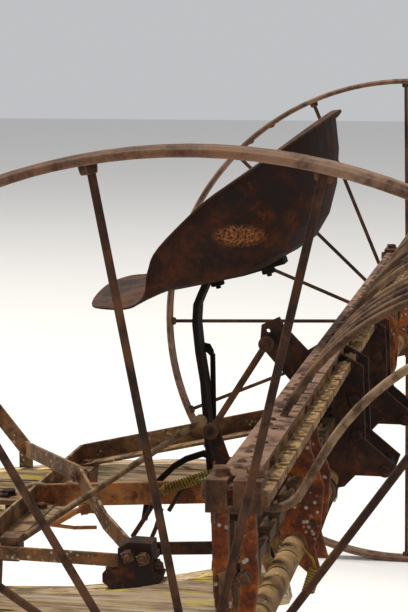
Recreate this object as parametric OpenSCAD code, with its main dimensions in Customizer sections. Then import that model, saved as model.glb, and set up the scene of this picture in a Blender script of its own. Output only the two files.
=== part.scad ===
// Sulky dump rake: a two-wheeled hay rake that a horse draws between two shafts.
// Millimetres, +X forward to the horse, +Y to the driver's left, +Z up from the ground.
// Inside at_axle() a place is measured from the middle of the axle.

/* [Wheels] */
// Outer diameter of each wheel
wheel_d = 1380; // [1250:2:1450]
// Distance between the middles of the two wheels
track = 3270; // [3230:10:3600]
// Width of the rim band
rim_w = 44; // [36:1:60]
// Thickness of the rim band
rim_t = 13; // [9:1:18]
// Number of rod spokes in each wheel
spoke_n = 16; // [12:2:20]
// Diameter of a spoke rod
spoke_d = 10; // [8:1:16]
// Diameter of the hub's barrel
hub_d = 74; // [62:1:90]
// Length of the hub
hub_len = 176; // [150:2:200]
// Diameter of the two flanges that hold the spokes
flange_d = 128; // [110:2:150]
// Thickness of a hub flange
flange_t = 20; // [14:1:26]
// Distance between the middles of the two flanges
flange_gap = 96; // [80:2:110]
// Diameter of the dump ratchet over its teeth
ratchet_d = 176; // [150:2:200]
// Number of teeth on the dump ratchet
ratchet_n = 15; // [10:1:24]

/* [Axle] */
// Diameter of the axle
axle_d = 28; // [22:1:34]
// Radial gap of a bore that turns on the axle or on a pin
run_gap = 0.1; // [0.05:0.05:0.1]
// How far the axle stands out beyond each hub
axle_end = 42; // [30:2:60]
// Diameter of the collars and washers on the axle
collar_d = 52; // [44:1:60]

/* [Rake head] */
// Number of tooth places, an even number
place_n = 28; // [24:2:30]
// Distance from one tooth place to the next
pitch = 95; // [90:1:100]
// Height of the head's top face above the middle of the axle
head_top = 240; // [225:1:260]
// Width of each leg of the head's angle iron
angle_w = 50; // [46:1:54]
// Thickness of the head's angle iron
angle_t = 6; // [4:0.5:7]
// How far the head runs on past the last tooth place
head_over = 75; // [70:1:90]
// Outer diameter of a tooth holder's hub
holder_d = 38; // [34:1:44]
// Gap between the hubs of two holders
holder_gap = 9; // [7:0.5:12]
// Thickness of the bracket plates that stand in those gaps
cheek_t = 8; // [5:0.5:8]

/* [Teeth] */
// Diameter of the tooth wire
tooth_d = 12; // [9:0.5:14]
// Radius of a tooth's main bend
tooth_bend = 368; // [350:2:390]
// Radius of a tooth's lower reach
tooth_reach = 1300; // [1100:20:1600]
// Height of the tooth points above the ground
tooth_clear = 8; // [6:1:30]

/* [Draft frame] */
// Distance from the middle of the rake to a hanger plate
hanger_y = 380; // [285:95:475]
// Width of each leg of the frame's angle iron
leg_w = 44; // [36:1:50]
// Thickness of the frame's angle iron
leg_t = 6; // [4:0.5:8]
// Width of a wooden shaft beam
beam_w = 50; // [40:1:64]
// Height of a wooden shaft beam
beam_h = 74; // [64:1:84]
// Diameter of a wooden pole where it is thickest
pole_d = 60; // [50:1:70]
// Diameter of a wooden pole at its tip
pole_tip_d = 38; // [30:1:44]
// How far the tips of the poles lie in front of the axle
pole_reach = 2780; // [2500:20:3000]

/* [Seat] */
// Width of the seat across its sides
seat_w = 470; // [420:5:500]
// Thickness of the seat's steel
seat_t = 4; // [3:0.5:6]
// Width of the rolled flange round the seat
seat_flange = 16; // [8:1:18]
// Width of the flat bar that carries the seat
post_w = 50; // [40:1:60]
// Thickness of the flat bar that carries the seat
post_t = 12; // [8:1:14]

/* [Lock linkage] */
// Distance from the middle of the rake to the lock linkage
lock_y = 142.5; // [142.5:95:237.5]
// Diameter of the linkage's rods
rod_d = 16; // [12:1:20]
// Diameter of the linkage's pins
pin_d = 12; // [10:1:14]

/* [Hidden] */
$fn = 48;
eps = 0.01;

// Wheels
rim_in_r = wheel_d / 2 - rim_t;
wheel_y = track / 2;
spoke_turn_left = 12.4;
spoke_turn_right = -0.9;
axle_len = track + hub_len + 2 * axle_end;

// Rake
row_y = (place_n - 1) / 2 * pitch;
head_len = 2 * (row_y + head_over);
head_rear = -20;
head_front = head_rear + angle_w;
head_low = head_top - angle_t;
holder_len = pitch - holder_gap;
block_len = pitch - 16;
end_y = head_len / 2 - 13;
// Tooth places that have lost their tooth, counted from the left end
tooth_gone = [1, 2, 3, 9, 10, 14, 19, 20, 24];
// Gaps between holders where the bracket plates stand, counted from the middle
bracket_gaps = [-8, -7, 7, 8];
dump_gaps = [-3, -2, 2, 3];

// Teeth run as straights and arcs in the plane of X and Z; a turn is a heading from +X
function ahead(p, turn, len) = p + len * [cos(turn), sin(turn)];
function mid(p, turn, r) = p + r * [-sin(turn), cos(turn)];
function off_mid(c, turn, r) = c + r * [sin(turn), -cos(turn)];

root_turn = 112;
root_foot = [16.8, head_top - 44];
root_len = 54;
root_top = ahead(root_foot, root_turn, root_len);
bend_from = 117;
bend_to = 262;
bend_c = mid(root_top, bend_from, tooth_bend);
reach_c = mid(off_mid(bend_c, bend_to, tooth_bend), bend_to, tooth_reach);
tip_z = tooth_clear - wheel_d / 2;
point_turn = 2;
lap = 1;
slip = 0.4;
reach_to = 360 - acos((reach_c.y - tip_z) / tooth_reach);

// The two end teeth leave their holders level and turn up behind them
end_turn = 180;
end_foot = [20, head_top - 46];
end_r = 45;
end_up = 119;
end_len = 58;
end_rise = 60;
end_bend = tooth_bend - 38;
end_a = ahead(end_foot, end_turn, end_len);
end_c = mid(end_a, end_turn, -end_r);
end_b = off_mid(end_c, end_up, -end_r);
end_bend_a = ahead(end_b, end_up, end_rise);
end_bend_c = mid(end_bend_a, end_up, end_bend);
end_reach_c = mid(off_mid(end_bend_c, bend_to, end_bend), bend_to, tooth_reach);
end_to = 360 - acos((end_reach_c.y - tip_z) / tooth_reach);

// Clearance between pieces that rest on each other
fit_gap = 0.3;

// Lock linkage: pin on the head's plate, pin on the lever, and the lever's own pivot
plate_pin = [136, 226];
lever_pin = [108, -174];
link_foot = plate_pin + lever_pin;

// Rear and front ends of the whole machine, from the axle
front_x = pole_reach + pole_tip_d / 2 * sin(5);
rear_x = min(reach_c.x, end_reach_c.x) - tooth_reach - tooth_d / 2;
shift_x = -(front_x + rear_x) / 2;

module at_axle() {
    translate([shift_x, 0, wheel_d / 2]) children();
}

// Stands a flat outline up in X and Z, with its thickness along Y
module stand(t, y = 0) {
    translate([0, y, 0]) rotate([90, 0, 0]) linear_extrude(t, center = true) children();
}

// Cylinder along Y
module barrel(d, len, at = [0, 0, 0]) {
    translate(at) rotate([90, 0, 0]) cylinder(d = d, h = len, center = true);
}

// Round rod between two points, tapered if d2 is given
module rod(a, b, d, d2 = 0) {
    v = b - a;
    translate(a)
        rotate([0, acos(v.z / norm(v)), atan2(v.y, v.x)])
            cylinder(d1 = d, d2 = d2 > 0 ? d2 : d, h = norm(v));
}

// Flat bar between two points, w wide and t thick, rolled about its own length
module flat(a, b, w, t, roll = 0) {
    v = b - a;
    translate(a)
        rotate([0, acos(v.z / norm(v)), atan2(v.y, v.x)])
            rotate(roll) translate([-t / 2, -w / 2, 0]) cube([t, w, norm(v)]);
}

// Points of a strip t wide along a path in the plane, with mitred corners
function side(v) = [-v.y, v.x] / norm(v);
function miter(p, i) =
    i == 0 ? side(p[1] - p[0]) :
    i == len(p) - 1 ? side(p[i] - p[i - 1]) :
    let (a = side(p[i] - p[i - 1]), b = side(p[i + 1] - p[i])) (a + b) / (1 + a * b);
function strip(p, t) = concat(
    [for (i = [0:len(p) - 1]) p[i] + miter(p, i) * t / 2],
    [for (i = [len(p) - 1:-1:0]) p[i] - miter(p, i) * t / 2]);

function place_y(k) = row_y - k * pitch;
function has_tooth(k) = len(search(k, tooth_gone)) == 0;
function is_end(k) = k == 0 || k == place_n - 1;

// Wheels
module rim() {
    color("#7d6a5c") stand_wheel() rotate_extrude($fn = 120) polygon([
        [rim_in_r, -rim_w / 2], [wheel_d / 2 - 4, -rim_w / 2], [wheel_d / 2, 5 - rim_w / 2],
        [wheel_d / 2, rim_w / 2 - 5], [wheel_d / 2 - 4, rim_w / 2], [rim_in_r, rim_w / 2]]);
}

module stand_wheel() {
    rotate([90, 0, 0]) children();
}

// Spokes lean from one flange and the other in turn to the middle of the rim
module spokes(phase, first) {
    color("#6b4f3f") stand_wheel() intersection() {
        union() for (i = [0:spoke_n - 1]) {
            s = i % 2 == 0 ? first : -first;
            rotate(phase + i * 360 / spoke_n)
                rod([flange_d / 2 - 8, 0, s * flange_gap / 2], [rim_in_r + 6, 0, s * 5], spoke_d);
        }
        difference() {
            cylinder(r = rim_in_r, h = 2 * flange_gap, center = true, $fn = 120);
            cylinder(d = flange_d, h = 3 * flange_gap, center = true);
        }
    }
}

// The ratchet ring is at the hub's inner end; inward is +1 or -1 along the turned Z
module hub(inward) {
    color("#5d4537") stand_wheel() difference() {
        union() {
            cylinder(d = hub_d, h = hub_len, center = true);
            for (s = [-1, 1]) translate([0, 0, s * flange_gap / 2])
                cylinder(d = flange_d, h = flange_t, center = true);
            translate([0, 0, inward * (hub_len - flange_t) / 2]) ratchet();
        }
        cylinder(d = axle_d + 2 * run_gap, h = hub_len + 2, center = true);
    }
}

module ratchet() {
    step = 360 / ratchet_n;
    linear_extrude(flange_t, center = true) polygon([for (i = [0:ratchet_n - 1], k = [0, 1])
        (ratchet_d / 2 - 12 * k) * [cos((i + k * 0.15) * step), sin((i + k * 0.15) * step)]]);
}

module wheel_rim_left() at_axle() translate([0, wheel_y, 0]) rim();
module wheel_rim_right() at_axle() translate([0, -wheel_y, 0]) rim();
module wheel_spokes_left() at_axle() translate([0, wheel_y, 0]) spokes(spoke_turn_left, -1);
module wheel_spokes_right() at_axle() translate([0, -wheel_y, 0]) spokes(spoke_turn_right, 1);
module wheel_hub_left() at_axle() translate([0, wheel_y, 0]) hub(1);
module wheel_hub_right() at_axle() translate([0, -wheel_y, 0]) hub(-1);

// Axle
module axle() {
    color("#54453b") at_axle() barrel(axle_d, axle_len);
}

module axle_collars() {
    color("#4c3a30") at_axle() for (s = [-1, 1]) {
        collar(s * (wheel_y - hub_len / 2 - 0.5 - 11), 22);
        collar(s * (wheel_y + hub_len / 2 + 0.5 + 3), 6);
        barrel_pin(s * (wheel_y + hub_len / 2 + 14));
    }
}

module collar(y, len) {
    difference() {
        barrel(collar_d, len, [0, y, 0]);
        barrel(axle_d, len + 2, [0, y, 0]);
    }
}

// Split pin through the end of the axle, seen as its two ends
module barrel_pin(y) {
    difference() {
        rod([0, y, -26], [0, y, 30], 7);
        barrel(axle_d, 40, [0, y, 0]);
    }
}

// Rake head
module head_angle() {
    color("#8a7462") at_axle() difference() {
        stand(head_len) head_outline();
        for (k = [0:place_n - 1]) if (!is_end(k)) translate([0, place_y(k), 0]) root(tooth_d + 0.4);
    }
}

module head_outline() {
    translate([head_rear, head_low]) square([angle_w, angle_t]);
    translate([head_front - angle_t, head_top - angle_w]) square([angle_t, angle_w]);
}

// Lower flat bar and two rods that run the whole width
module head_bar() {
    color("#5a4336") at_axle() stand(head_len) bar_outline();
}

module bar_outline() {
    translate([13, 96]) square([6, 32]);
}

rod_places = [[6, 112], [-6, 110]];
rod_place_d = 9;

module head_rods() {
    color("#8f7a5e") at_axle() for (p = rod_places) barrel(rod_place_d, head_len, [p.x, 0, p.y]);
}

module through_bars(len, y) {
    stand(len, y) bar_outline();
    for (p = rod_places) barrel(rod_place_d, len, [p.x, y, p.y]);
}

// Kite-shaped plates that carry the head on the axle
module head_brackets() {
    color("#8c5636") at_axle() for (g = bracket_gaps) difference() {
        stand(cheek_t, g * pitch) kite_outline();
        barrel(axle_d + 2 * run_gap, 2 * cheek_t, [0, g * pitch, 0]);
        through_bars(2 * cheek_t, g * pitch);
    }
}

module kite_outline() {
    polygon([[head_front - angle_t, head_low], [head_front - angle_t, 214], [6, 159], [14, 119], [10, 93],
             [14, 57], [24, 10], [2, -22], [-24, -44], [-44, -44], [-32, 0], [-42, 30], [-47, 101],
             [-26, 156], [-22, 200], [head_rear, head_low]]);
    circle(d = 52);
}

// V of two flat bars at each end of the head
module end_brackets() {
    color("#8a6a52") at_axle() for (s = [-1, 1]) difference() {
        union() {
            stand(12, s * end_y) end_v();
            barrel(54, 26, [0, s * end_y, 0]);
        }
        barrel(axle_d + 2 * run_gap, 60, [0, s * end_y, 0]);
        through_bars(60, s * end_y);
        stand(60, s * end_y) under_angle();
    }
}

module end_v() {
    polygon(strip([[6, 0], [17, 100], [21, head_low + 10]], 22));
    polygon(strip([[-8, 0], [-20, 115], [-14, head_low + 10]], 22));
    translate([-25, head_low - 12]) square([48, 12]);
}

// Room for the head's angle iron above and in front of what is bolted into its corner
module under_angle() {
    translate([-60, head_low]) square([120, 40]);
    translate([head_front - angle_t - fit_gap, head_top - angle_w - fit_gap]) square([60, angle_w + 20]);
}

// Cast caps over the head's ends: a front wall, a top and an end wall with a slot
cap_wall = 6;
cap_len = 57;
cap_y = head_len / 2 + cap_wall + fit_gap;
cap_top = head_top + fit_gap + cap_wall + 2;
cap_low = head_top - 35;
cap_slot = 8;

module end_clamps() {
    color("#75604f") at_axle() for (s = [-1, 1]) scale([1, s, 1]) difference() {
        translate([head_rear - 17, cap_y - cap_len - cap_wall, cap_low])
            cube([angle_w + 17 + cap_wall + fit_gap, cap_len + cap_wall, cap_top - cap_low]);
        translate([head_rear - 30, 0, 0])
            cube([angle_w + 30 + fit_gap, head_len / 2 + fit_gap, head_top + fit_gap]);
        translate([0, cap_y - cap_len / 2, cap_low + 10]) cube([cap_slot, cap_len, 60]);
    }
}

// Tooth holders: a hub on the axle, an upright in front of the lower bar, a block under the
// angle iron with a shelf behind it, and a small clip on the rear rod
shelf_top = 220;
shelf_t = 14;
shelf_w = 20;
clip_len = 60;

module tooth_holders() {
    color("#8d7958") at_axle() for (k = [0:place_n - 1]) {
        holder(place_y(k), is_end(k));
        rod_clip(place_y(k));
    }
}

module holder(y, end_one) {
    head_w = head_front - angle_t + 18;
    low = end_one ? head_top - 60 : head_low - 34;
    difference() {
        union() {
            barrel(holder_d, holder_len, [0, y, 0]);
            stand(20, y) polygon([[-6, -12], [19.3, 20], [19.3, 130], [10, 136], [10, 202], [23.7, 202],
                                  [23.7, 189.7], [32, 189.7], [32, 20], [20, -10]]);
            stand(44, y) translate([-18, low]) square([head_w, head_low - low]);
            stand(44, y) translate([head_rear - shelf_w, shelf_top - shelf_t])
                square([shelf_w + 4, shelf_t - 2]);
            stand(block_len, y) translate([head_rear - shelf_w, shelf_top - shelf_t])
                square([shelf_w, shelf_t]);
        }
        barrel(axle_d + 2 * run_gap, pitch, [0, y, 0]);
        if (end_one) translate([0, y, 0]) straight(end_foot, end_turn, 60, tooth_d);
        else translate([0, y, 0]) root(tooth_d);
    }
}

module rod_clip(y) {
    at = rod_places[1];
    difference() {
        stand(clip_len, y) translate([at.x - 7, at.y - 8]) square([14.2, 16]);
        barrel(rod_place_d + 2 * run_gap, pitch, [at.x, y, at.y]);
    }
}

// Part of a ring of wire about c, between two headings
module arc(c, r, from, to, d) {
    translate([c.x, 0, c.y]) rotate([90, 0, 0]) rotate(from - 90)
        rotate_extrude(angle = to - from, $fn = 96) translate([r, 0]) circle(d = d, $fn = 20);
}

module straight(a, turn, len, d, d2 = 0) {
    b = ahead(a, turn, len);
    rod([a.x, 0, a.y], [b.x, 0, b.y], d, d2, $fn = 20);
}

module root(d) {
    straight(root_foot, root_turn, root_len + lap, d - slip);
}

// The long lower arc with its point; each piece of wire is let a little into the next
point_len = 44;

module reach(c, to, d) {
    from = bend_to - lap / tooth_reach * 180 / PI;
    arc(c, tooth_reach, from, to, d - slip);
    straight(ahead(off_mid(c, to, tooth_reach), to, -lap), to, point_len, d - 2 * slip, d / 2);
}

module rake_teeth() {
    color("#7c6c5c") at_axle() for (k = [1:place_n - 2]) if (has_tooth(k)) translate([0, place_y(k), 0]) {
        root(tooth_d);
        arc(bend_c, tooth_bend, bend_from, bend_to, tooth_d);
        reach(reach_c, reach_to - point_turn, tooth_d);
    }
}

module end_teeth() {
    color("#8d8070") at_axle() for (k = [0, place_n - 1]) translate([0, place_y(k), 0]) {
        straight(end_foot, end_turn, end_len + lap, tooth_d - slip);
        translate([end_c.x, 0, end_c.y]) rotate([90, 0, 0]) rotate(end_up + 90)
            rotate_extrude(angle = end_turn - end_up, $fn = 48) translate([end_r, 0])
                circle(d = tooth_d, $fn = 20);
        straight(ahead(end_b, end_up, -lap), end_up, end_rise + 2 * lap, tooth_d - slip);
        arc(end_bend_c, end_bend, end_up, bend_to, tooth_d);
        reach(end_reach_c, end_to - point_turn, tooth_d);
    }
}

// Dump castings, two pairs of plates from the head down to arms behind the axle
module dump_casting() {
    color("#4a352b") at_axle() difference() {
        union() {
            for (g = dump_gaps) stand(cheek_t, g * pitch) {
                polygon([[-8, head_low - fit_gap], [-22, head_low - fit_gap], [-62, 212], [-68, 75],
                         [-125, 28], [-118, 8], [-50, 8], [-30, -14], [0, -20], [18, 10], [4, 60],
                         [-8, 130]]);
                circle(d = 46);
            }
            for (s = [-1, 1]) barrel(18, pitch, [-104, s * 2.5 * pitch, 18]);
        }
        for (g = dump_gaps) {
            barrel(axle_d + 2 * run_gap, 2 * cheek_t, [0, g * pitch, 0]);
            through_bars(2 * cheek_t, g * pitch);
        }
    }
}

// Slotted plate on the front of the head
lock_t = 10;

module lock_plate() {
    color("#3f322b") at_axle() {
        difference() {
            stand(lock_t, lock_y) polygon([[head_front, 194], [head_front, 232], [58, 214], [105, 262],
                                           [113, 277], [147, 261], [150, 222], [122, 190], [88, 152],
                                           [60, 148], [40, 176]]);
            barrel(pin_d, 30, [plate_pin.x, lock_y, plate_pin.y]);
            barrel(8, 30, [134, lock_y, 250]);
        }
        barrel(pin_d, lock_t + 20, [plate_pin.x, lock_y + 10, plate_pin.y]);
    }
}

// Rod between the plate and the lever, with an eye at each end
eye_t = 14;
link_y = lock_y + lock_t / 2 + 0.3 + eye_t / 2;

module lock_link() {
    color("#7a5a44") at_axle() difference() {
        union() {
            for (p = [plate_pin, link_foot]) barrel(30, eye_t, [p.x, link_y, p.y]);
            rod([plate_pin.x, link_y, plate_pin.y], [link_foot.x, link_y, link_foot.y], rod_d - 3);
        }
        barrel(pin_d + 0.6, 30, [plate_pin.x, link_y, plate_pin.y]);
        barrel(pin_d + 2 * run_gap, 30, [link_foot.x, link_y, link_foot.y]);
    }
}

// Lever that swings on the rear cross bar and ends in a foot pedal
module lock_lever() {
    color("#5f4436") at_axle() {
        difference() {
            union() {
                barrel(38, 30, [lever_pin.x, lock_y, lever_pin.y]);
                stand(lock_t, lock_y) {
                    polygon(strip([lever_pin, lever_pin + [90, 100], link_foot], 28));
                    polygon(strip([lever_pin, lever_pin + [150, -10], [360, -190]], 24));
                    translate(link_foot) circle(d = 30);
                }
                translate([345, lock_y - 40, -200]) cube([60, 80, 12]);
            }
            barrel(22 + 2 * run_gap, 40, [lever_pin.x, lock_y, lever_pin.y]);
        }
        barrel(pin_d, lock_t + 20, [link_foot.x, lock_y + 10, link_foot.y]);
    }
}

// Hanger plates carry the shafts and the frame on the axle
module hanger(s) {
    color("#4e3d33") at_axle() difference() {
        union() {
            stand(cheek_t, s * hanger_y) polygon([[0, 20], [20, 22], [150, 14], [195, 0], [195, -190],
                                                  [180, -212], [70, -196], [-16, -12]]);
            barrel(54, cheek_t, [0, s * hanger_y, 0]);
        }
        barrel(axle_d, 3 * cheek_t, [0, s * hanger_y, 0]);
        barrel(22, 3 * cheek_t, [lever_pin.x, s * hanger_y, lever_pin.y]);
    }
}

module hanger_left() hanger(1);
module hanger_right() hanger(-1);

// The right leg is angle iron from the hanger to a cross piece in front, with its flange below;
// the left one is a flat bar on edge from the clip on the beam
leg_rear = [140, 7.4];
leg_front = [640, -107];
leg_y = hanger_y + cheek_t / 2;
leg_flange_from = 74;
cross_low = leg_front.y - leg_w;
flange_top = cross_low + leg_t;
near_leg_h = 24;
near_leg_y = leg_y + 34;

module frame_leg_right() {
    slope = atan2(leg_front.y - leg_rear.y, leg_front.x - leg_rear.x);
    long = norm(leg_front - leg_rear) + leg_w;
    color("#8a6a50") at_axle() difference() {
        translate([leg_rear.x, 0, leg_rear.y]) rotate([0, -slope, 0]) {
            translate([0, -leg_y - leg_t, -leg_w]) cube([long, leg_t, leg_w]);
            translate([leg_flange_from, -leg_y - 1, -leg_w]) cube([long, leg_w, leg_t]);
        }
        translate([leg_front.x - leg_t - fit_gap, -hanger_y - leg_w, -leg_w * 8]) cube(leg_w * 8);
        translate([leg_front.x - leg_w - 10, -hanger_y - leg_w, flange_top + fit_gap - leg_w * 8])
            cube(leg_w * 8);
    }
}

module frame_leg_left() {
    on_flange = flange_top + fit_gap + near_leg_h / 2;
    color("#8a6a50") at_axle() stand(leg_t, near_leg_y + leg_t / 2)
        polygon(strip([[clip_front + 3 * fit_gap, on_flange - 4], [leg_front.x - leg_w - 6, on_flange],
                       [leg_front.x - leg_t - fit_gap, on_flange]], near_leg_h));
}

module front_cross() {
    wide = 2 * leg_y + leg_t + leg_w;
    color("#8a6a50") at_axle() translate([leg_front.x, -leg_y - leg_t, cross_low]) {
        translate([-leg_t, 0, 0]) cube([leg_t, wide, leg_w]);
        translate([-leg_w, 0, 0]) cube([leg_w, wide, leg_t]);
    }
}

// Wooden beams beside the hangers; each row is a point of the beam's middle line
beam_left = [[60, -162], [327, -220], [460, -238], [620, -246], [1000, -278]];
beam_right = [[60, -176], [380, -176], [614, -190], [848, -218], [1000, -268]];
beam_y = leg_y + beam_w / 2;

module beam(s, row) {
    color("#a08a6a") at_axle() stand(beam_w, s * beam_y) polygon(strip(row, beam_h));
}

module shaft_beam_left() beam(1, beam_left);
module shaft_beam_right() beam(-1, beam_right);

// Round poles beside the beams; each row is a point and the thickness there
pole_y = leg_y - pole_d / 2;
tip_turn = -5;
tip_len = 300;
pole_tip = [pole_reach, pole_tip_d / 2 * cos(tip_turn) - wheel_d / 2];
pole_low = ahead(pole_tip, tip_turn, -tip_len);
pole_row = [
    [660, -240, pole_d],
    [1650, -416, pole_d - 2],
    [pole_low.x, pole_low.y, pole_tip_d + 8],
    [pole_tip.x, pole_tip.y, pole_tip_d]];

module pole(s) {
    color("#9a8565") at_axle() for (i = [0:2]) {
        a = pole_row[i];
        b = pole_row[i + 1];
        rod([a.x, s * pole_y, a.y], [b.x, s * pole_y, b.y], a.z, b.z);
        if (i > 0) band([a.x, s * pole_y, a.y], (pole_row[i + 1] - pole_row[i - 1]), a.z + 6);
    }
}

// Iron band round a bend of a pole
module band(at, way, d) {
    v = [way.x, 0, way.y] / norm([way.x, way.y]) * 45;
    rod(at - v, at + v, d);
}

module shaft_pole_left() pole(1);
module shaft_pole_right() pole(-1);

// Steel plates that join the front cross piece to the beams
module front_plates() {
    color("#5b4638") at_axle() for (s = [-1, 1]) stand(cheek_t, s * hanger_y)
        polygon([[leg_front.x - leg_w + 2, cross_low - fit_gap], [leg_front.x, cross_low - fit_gap],
                 [leg_front.x, -262], [604, -262]]);
}

// Round bar between the hangers: the lock lever's pivot
module cross_bar() {
    color("#6a5140") at_axle() barrel(22, 2 * hanger_y + cheek_t - 1, [lever_pin.x, 0, lever_pin.y]);
}

// Flat bar along the middle, from the cross bar to the front cross piece, with the seat's foot
module centre_bar() {
    color("#9a5a34") at_axle() difference() {
        union() {
            stand(10) polygon(strip([lever_pin, [240, -104], [640, -130]], 46));
            translate([225, -25, -112]) cube([38, 50, 74]);
        }
        barrel(22, 40, [lever_pin.x, 0, lever_pin.y]);
        translate([leg_front.x - leg_t - fit_gap, -50, cross_low - 50]) cube([60, 100, 120]);
        translate([leg_front.x - leg_w - fit_gap, -50, flange_top + fit_gap - 60]) cube([60, 100, 60]);
    }
}

// Height of a beam's top face at x, within the stretch that starts at its point i
function beam_top(row, i, x) =
    lookup(x, row) + beam_h / 2 / cos(atan2(row[i + 1].y - row[i].y, row[i + 1].x - row[i].x));

// Block with a foot on top of the left beam, which carries the near brace and the left leg
clip_low = [for (p = [[0, 290], [0, 327], [1, 378]])
    [p.y, beam_top(beam_left, p.x, p.y) + fit_gap]];
clip_front = 366;
clip_w = beam_w - 4;

module beam_clip() {
    color("#6a4c3c") at_axle() stand(clip_w, beam_y)
        polygon([[303, -100], [346, -99], [clip_front, -112], [clip_front, -150], [395, -160], [395, -176],
                 clip_low[2], clip_low[1], clip_low[0], [285, -160], [301, -150]]);
}

// Two flat bars on edge make the brace: the near one from the clip to a bolt behind the front
// cross piece, the long one from that bolt over the cross piece to a strut on the right beam
brace_w = 34;
brace_t = 6;
near_brace_from = [350, beam_y - 13, -122];
near_brace_turn = -57;
// Points of the near brace in its own upright plane: distance from its start, and height
near_brace_path = [[0, -122], [136, -102], [282, -46]];
brace_bolt = near_brace_from + 282 * [cos(near_brace_turn), sin(near_brace_turn), 0] + [0, 0, 76];

module near_brace() {
    color("#93745a") at_axle() difference() {
        translate([near_brace_from.x, near_brace_from.y, 0]) rotate([0, 0, near_brace_turn])
            stand(brace_t) {
                polygon(strip(near_brace_path, brace_w));
                translate(near_brace_path[2]) circle(d = brace_w);
            }
        translate([200, beam_y - clip_w / 2 - fit_gap, -300]) cube([300, 100, 300]);
    }
}

brace_crease = [773, -beam_y, -125];
brace_end = [850, -beam_y, -30];
strut_w = 30;
strut_t = 9;
strut_low = beam_top(beam_right, 2, brace_crease.x - strut_w / 2) + fit_gap;
brace_way = unit([brace_crease.x - brace_bolt.x, brace_crease.y - brace_bolt.y, 0]);
brace_from = brace_bolt + 8.7 * [sin(near_brace_turn), -cos(near_brace_turn), 0] - 16 * brace_way;

module long_brace() {
    color("#8c6248") at_axle() {
        flat(brace_from, brace_crease, brace_w, brace_t, 90);
        flat(brace_crease, brace_end, brace_w - slip, brace_t - slip, 90);
        translate([brace_crease.x - strut_w / 2, -beam_y - strut_t / 2, strut_low])
            cube([strut_w, strut_t, brace_crease.z + 12 - strut_low]);
    }
}

// Draw plate on the front cross piece with the hole that takes the draft
module draw_plate() {
    color("#5a4234") at_axle() difference() {
        translate([leg_front.x, -45, leg_front.y - 34]) cube([90, 90, 10]);
        translate([leg_front.x + 55, 0, leg_front.y - 29]) cylinder(d = 18, h = 20, center = true);
    }
}

// Coil spring between the seat's foot and the centre bar, on two pins
spring_y = 40;

module tension_spring() {
    color("#7a6040") at_axle() {
        rod([251, spring_y, -56], [361, spring_y, -97], 22);
        rod([245, 25 + fit_gap, -54], [245, spring_y + 6, -54], 9);
        rod([367, 5 + fit_gap, -99], [367, spring_y + 6, -99], 9);
        rod([243, spring_y, -53], [369, spring_y, -100], 8);
    }
}

// Long rod from an eye beside the seat post out to a guide on the left leg
trip_d = 13;
trip_y = post_w / 2 + fit_gap + trip_d / 2;
trip_from = [293, trip_y, 41];
trip_to = [579, near_leg_y - 13, -128];

module trip_rod() {
    color("#9b8360") at_axle() {
        rod(trip_from, trip_to, trip_d);
        barrel(26, trip_d, trip_from + [-6, 0, 4.3]);
    }
}

module rod_guide() {
    color("#5b4638") at_axle() difference() {
        translate([trip_to.x - 23, near_leg_y - 38, trip_to.z - 22]) cube([34, 38 - fit_gap, 45]);
        rod(trip_from, trip_to + (trip_to - trip_from) / 8, trip_d + 1);
    }
}

// Rod with a hooked head beside the seat post, and a bent foot rod below it
hook_y = -(post_w / 2 + fit_gap + 5.5);

module hook_rod() {
    color("#3e2f2a") at_axle() {
        rod([273, hook_y, 172], [269, hook_y, -61], 11);
        rod([273, hook_y, 170], [291, hook_y, 186], 10);
        rod([262, hook_y - 18, -50], [262, -25 - fit_gap, -50], 12);
    }
}

foot_t = 10;
foot_y = hook_y - 5.5 - fit_gap - foot_t / 2;

module foot_rod() {
    color("#3e2f2a") at_axle() difference() {
        union() {
            stand(foot_t, foot_y) polygon(strip(foot_path, 12));
            barrel(24, foot_t, [262, foot_y, -50]);
        }
        barrel(12 + 2 * run_gap, 20, [262, foot_y, -50]);
    }
}

foot_path = [[262, -50], [294, -37], [330, -50], [355, -66], [397, -108], [412, -145], [418, -182]];

// Seat's own frame: back along its floor, and up from it
seat_front = [353, 329];
seat_tilt = 12.8;
function seat_at(back, up) = seat_front + back * [-cos(seat_tilt), sin(seat_tilt)]
    + up * [sin(seat_tilt), cos(seat_tilt)];
// How far the middle of the seat's floor lies below its edges
seat_dish = 8;
seat_under = -(seat_dish + seat_t + fit_gap + post_t / 2);

// Flat spring bar that carries the seat
module seat_post() {
    color("#3d2e28") at_axle() stand(post_w)
        polygon(strip([[269, -82], [269, -61], [283, 123], [293, 184], [299, 240], [297, 278], [289, 298],
                       seat_at(75, seat_under), seat_at(150, seat_under), seat_at(235, seat_under + 7)],
                      post_t));
}

// Half of the seat from the front lip to the back, sides as shares of half the width.
// Columns: rim back, rim side, rim up, floor back, floor side, floor up, and how far the bent
// rim stands higher on the right
seat_rows = [
    [-134, 0.00, 4, -30, 0.00, -3, 0],
    [-130, 0.36, -4, -26, 0.30, -4, 14],
    [-112, 0.66, -10, -14, 0.50, -6, 20],
    [-62, 0.80, -20, 2, 0.62, -8, 20],
    [-24, 0.88, -16, 18, 0.67, -8, 8],
    [0, 0.90, 12, 34, 0.70, -8, 0],
    [16, 0.93, 46, 48, 0.72, -8, 0],
    [40, 0.95, 80, 72, 0.73, -8, 0],
    [134, 0.98, 140, 134, 0.74, -8, 0],
    [204, 1.00, 171, 200, 0.70, -4, 0],
    [280, 0.94, 203, 240, 0.56, 6, 0],
    [350, 0.66, 236, 258, 0.34, 10, 0],
    [388, 0.00, 256, 266, 0.00, 10, 0]];
seat_steps = 4;
seat_mid = [140, 0, -seat_dish];
// Shares of the way from the middle of the floor to its edge, then up the wall to the rim
floor_rings = [0.35, 0.7, 1];
wall_rings = [0.2, 0.4, 0.6, 0.8, 1];

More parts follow.
